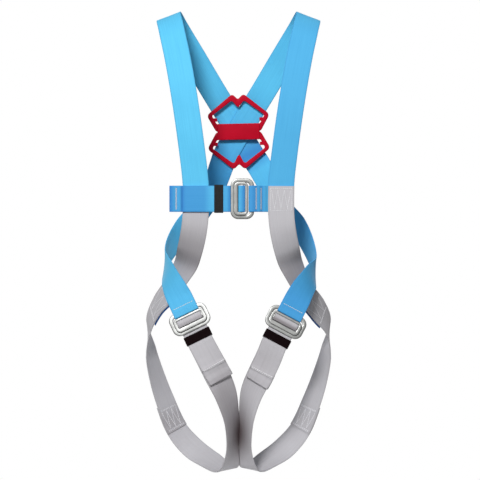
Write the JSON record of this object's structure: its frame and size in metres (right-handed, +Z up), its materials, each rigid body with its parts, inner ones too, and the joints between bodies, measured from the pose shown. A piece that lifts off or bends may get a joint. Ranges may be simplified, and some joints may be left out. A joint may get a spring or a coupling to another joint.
{
  "type": "full body safety harness",
  "caption": "Full body safety harness of blue and grey webbing with steel buckles at the chest and legs, a red back plate where the straps cross and a steel ring behind it.",
  "frame": {"origin": "midway between the tops of the two shoulder straps, where the wearer's shoulders carry them", "axes": "+Z up, -Y towards the front with the chest buckle, +X to the right seen from the front"},
  "size_m": [0.33, 0.2474, 0.8138],
  "materials": {
    "webbing_blue": "woven polyester webbing, sky blue",
    "webbing_grey": "woven polyester webbing, light grey",
    "steel": "zinc plated steel, satin",
    "plate": "moulded plastic, red",
    "keeper": "black elastic band"
  },
  "bodies": {
    "root": {"shoulder_strap_left": "webbing_blue", "shoulder_strap_right": "webbing_blue", "hip_tab_left": "webbing_blue", "hip_tab_right": "webbing_blue", "chest_strap_left": "webbing_blue", "chest_strap_right": "webbing_blue", "thigh_strap_left": "webbing_grey", "thigh_strap_right": "webbing_grey", "leg_strap_left": "webbing_grey", "leg_strap_right": "webbing_grey", "buckle_ring_chest": "steel", "buckle_ring_left_leg": "steel", "buckle_ring_right_leg": "steel", "buckle_adjuster_chest": "steel", "buckle_adjuster_left_leg": "steel", "buckle_adjuster_right_leg": "steel", "keeper_chest": "keeper", "keeper_left_leg": "keeper", "keeper_right_leg": "keeper", "back_plate": "plate", "back_ring": "steel"}
  },
  "joints": []
}
